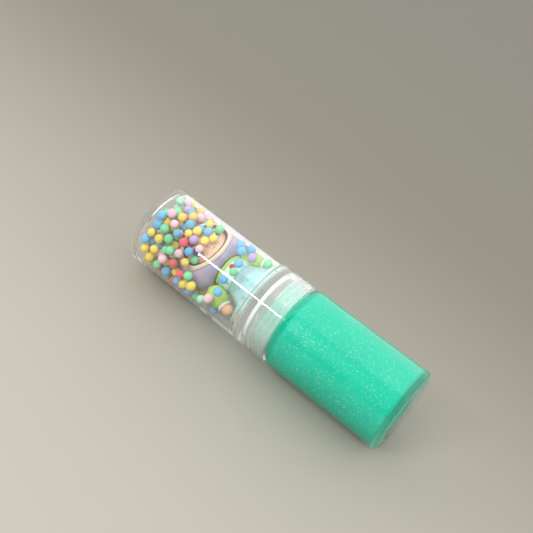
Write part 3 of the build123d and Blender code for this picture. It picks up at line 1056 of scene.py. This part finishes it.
def dress_paint():
    """Pale aqua, paler on the chest, with scattered teal drops, and a darker hem line."""
    material, tree, shader, colour = vinyl("dress_paint", rgba(190, 234, 234), 0.36)
    place, (_, y, z) = doll_place(tree)
    high_up = calc(tree, "GREATER_THAN", z, 21.0)
    chest = calc(tree, "MULTIPLY", high_up, calc(tree, "LESS_THAN", y, 0.0))
    colour = blend_colour(tree, chest, colour, rgba(226, 241, 232))
    stretch = add(tree, "ShaderNodeVectorMath", operation="MULTIPLY")
    tree.links.new(place, stretch.inputs[0])
    stretch.inputs[1].default_value = (0.27, 0.27, 0.19)
    cells = add(tree, "ShaderNodeTexVoronoi")
    tree.links.new(stretch.outputs[0], cells.inputs["Vector"])
    cells.inputs["Scale"].default_value = 1.0
    cells.inputs["Randomness"].default_value = 0.75
    drop = add(tree, "ShaderNodeMapRange", interpolation_type="SMOOTHSTEP")
    tree.links.new(cells.outputs["Distance"], drop.inputs["Value"])
    drop.inputs["From Min"].default_value = 0.25
    drop.inputs["From Max"].default_value = 0.3
    drop.inputs["To Min"].default_value = 1.0
    drop.inputs["To Max"].default_value = 0.0
    colour = blend_colour(tree, drop.outputs["Result"], colour, rgba(118, 210, 210))
    low = calc(tree, "LESS_THAN", z, DRESS_HEM + 1.3)
    high = calc(tree, "GREATER_THAN", z, DRESS_HEM + 0.7)
    colour = blend_colour(tree, calc(tree, "MULTIPLY", low, high), colour, rgba(96, 190, 190))
    feed(tree, shader.inputs["Base Color"], colour)
    return material


def trim_paint():
    """Cream vinyl with a thin dark line along the edge beside the face, partly a drawn outline and partly
    painted shade for the joint where the trim meets the face.
    """
    material, tree, shader, colour = vinyl("trim_paint", rgba(242, 220, 194), 0.6)
    _, (x, _, z) = doll_place(tree)
    # painted shade: the dark line on the trim's inner margin also stands in for the contact shadow where the
    # trim meets the face
    line = (FACE_HALF_WIDTH + 0.16, FACE_HALF_HEIGHT + 0.16)
    inside = oval(tree, x, z, (0, FACE_CENTRE), line, 0.006)
    colour = blend_colour(tree, inside, colour, rgba(70, 60, 62))
    feed(tree, shader.inputs["Base Color"], colour)
    return material


# ---- stage ----
def make_floor():
    """A plain pale sweep, far larger than the view, with painted shade that darkens its colour towards the
    back.
    """
    material, tree, shader = new_material("studio_sweep")
    grain = noise_value(tree, 3.0, 2.0)
    near = blend_colour(tree, grain, rgba(162, 159, 149), rgba(167, 164, 154))
    parts = add(tree, "ShaderNodeSeparateXYZ")
    tree.links.new(place_in_piece(tree), parts.inputs[0])
    # painted shade: from y = -0.15 m to 0.3 m the floor's colour darkens, standing in for light falling off
    # towards the back
    depth = add(tree, "ShaderNodeMapRange", interpolation_type="SMOOTHSTEP")
    tree.links.new(parts.outputs["Y"], depth.inputs["Value"])
    depth.inputs["From Min"].default_value = -0.15
    depth.inputs["From Max"].default_value = 0.3
    colour = blend_colour(tree, depth.outputs["Result"], near, rgba(129, 126, 113))
    feed(tree, shader.inputs["Base Color"], colour)
    shader.inputs["Roughness"].default_value = 0.6
    mesh = bpy.data.meshes.new("sweep")
    corners = [(x * FLOOR_REACH, y * FLOOR_REACH, 0) for x, y in ((-1, -1), (1, -1), (1, 1), (-1, 1))]
    mesh.from_pydata(corners, [], [(0, 1, 2, 3)])
    mesh.materials.append(material)
    floor = bpy.data.objects.new("sweep", mesh)
    bpy.context.scene.collection.objects.link(floor)
    floor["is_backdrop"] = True


def area_light(name, place, target, size, power, colour=(1, 1, 1)):
    light = bpy.data.lights.new(name, "AREA")
    light.shape = "RECTANGLE"
    light.size = size[0]
    light.size_y = size[1]
    light.energy = power
    light.color = colour
    lamp = bpy.data.objects.new(name, light)
    bpy.context.scene.collection.objects.link(lamp)
    toward = (Vector(target) - Vector(place)).normalized()
    along = Vector((1, 0, 0))
    right = (along - toward * along.dot(toward)).normalized()
    up = right.cross(toward)
    lamp.matrix_world = Matrix.Translation(place) @ Matrix((right, up, -toward)).transposed().to_4x4()
    return lamp


def make_lights():
    world = bpy.data.worlds.new("studio")
    world.use_nodes = True
    tree = world.node_tree
    sky = tree.nodes["Background"]
    sky.inputs["Color"].default_value = (*WARM_WHITE, 1.0)
    outward = add(tree, "ShaderNodeTexCoord").outputs["Generated"]
    toward = add(tree, "ShaderNodeVectorMath", operation="DOT_PRODUCT")
    tree.links.new(outward, toward.inputs[0])
    toward.inputs[1].default_value = DARK_SIDE
    dark = add(tree, "ShaderNodeMapRange", interpolation_type="SMOOTHSTEP")
    tree.links.new(toward.outputs["Value"], dark.inputs["Value"])
    dark.inputs["From Min"].default_value = -0.02
    dark.inputs["From Max"].default_value = 0.12
    dark.inputs["To Min"].default_value = SKY_BRIGHT
    dark.inputs["To Max"].default_value = SKY_DARK
    tree.links.new(dark.outputs["Result"], sky.inputs["Strength"])
    bpy.context.scene.world = world
    key_place = (-0.236, -0.563, 0.423)
    area_light("key", key_place, (-0.02, 0, 0.03), (0.15, 0.045), 0.9, WARM_WHITE)
    fill = area_light("fill", (-0.1, -0.9, 1.0), (0, 0, 0), (1.0, 0.8), 14.0)
    fill.visible_glossy = False
    fill.visible_transmission = False


def make_camera():
    azimuth = math.radians(CAMERA_AZIMUTH)
    elevation = math.radians(CAMERA_ELEVATION)
    back = Vector(
        (
            math.sin(azimuth) * math.cos(elevation),
            -math.cos(azimuth) * math.cos(elevation),
            math.sin(elevation),
        )
    )
    level = Vector((math.cos(azimuth), math.sin(azimuth), 0))
    up = back.cross(level)
    roll = math.radians(CAMERA_ROLL)
    right = level * math.cos(roll) + up * math.sin(roll)
    true_up = back.cross(right)
    data = bpy.data.cameras.new("camera")
    data.lens = LENS
    data.sensor_width = SENSOR
    data.clip_start = 0.01
    camera = bpy.data.objects.new("camera", data)
    bpy.context.scene.collection.objects.link(camera)
    rotation = Matrix((right, true_up, back)).transposed().to_4x4()
    camera.matrix_world = Matrix.Translation(AIM + back * CAMERA_DISTANCE) @ rotation
    bpy.context.scene.camera = camera


# ---- assembly ----
FOAM_COLOURS = {
    "yellow": rgba(254, 220, 58),
    "blue": rgba(92, 184, 234),
    "pink": rgba(250, 198, 212),
    "green": rgba(112, 218, 156),
    "lavender": rgba(186, 162, 214),
    "red": rgba(232, 72, 80),
    "mint": rgba(166, 232, 196),
}


def main():
    bpy.context.scene.view_settings.view_transform = "Standard"
    for kind in ("max_bounces", "transmission_bounces", "transparent_max_bounces"):
        setattr(bpy.context.scene.cycles, kind, GLASS_BOUNCES)
    make_camera()
    make_floor()
    make_lights()
    clear = clear_plastic("clear_cover", (0.985, 0.99, 0.99, 1.0), 0.012, (0.96, 0.97, 0.97, 1.0), 0.02)
    clear_thick = clear_plastic("clear_cap", (0.97, 0.985, 0.98, 1.0), 0.02, (0.96, 0.97, 0.97, 1.0), 0.17)
    clear_jar = clear_plastic("clear_jar", (0.98, 0.99, 0.988, 1.0), 0.015, (0.95, 0.96, 0.96, 1.0))
    make_jar(clear_jar)
    make_cap(clear_thick)
    make_cover(clear)
    make_slime(slime_gel())
    make_glitter(glitter_flake())
    make_plug(clear_plastic("plug_plastic", (0.95, 0.97, 0.965, 1.0), 0.15, (0.9, 0.92, 0.92, 1.0)))
    make_gasket(foam("seal_foam", rgba(236, 240, 236)))
    for seed, (colour, ink) in enumerate(FOAM_COLOURS.items()):
        make_beads(colour, foam(f"foam_{colour}", ink), seed)
    lavender = vinyl("hood_vinyl", rgba(196, 182, 214))[0]
    white = vinyl("white_vinyl", rgba(240, 240, 232))[0]
    lime = vinyl("sleeve_vinyl", rgba(186, 222, 104))[0]
    aqua = dress_paint()
    skin = vinyl("hand_vinyl", rgba(240, 186, 146))[0]
    make_head(face_paint())
    make_hood(lavender)
    make_trim(trim_paint())
    make_dress(aqua)
    make_bodice(aqua)
    make_collar(lime)
    make_badge(vinyl("badge_paint", rgba(206, 48, 58), 0.2)[0])
    make_shoes(vinyl("shoe_vinyl", rgba(60, 150, 150))[0])
    for name, offset in SLEEVE_OFFSETS.items():
        make_arm(name, offset, lime, white, skin)


main()
[[list(corner) for corner in box] for box in (CAD_BOX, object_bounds())]
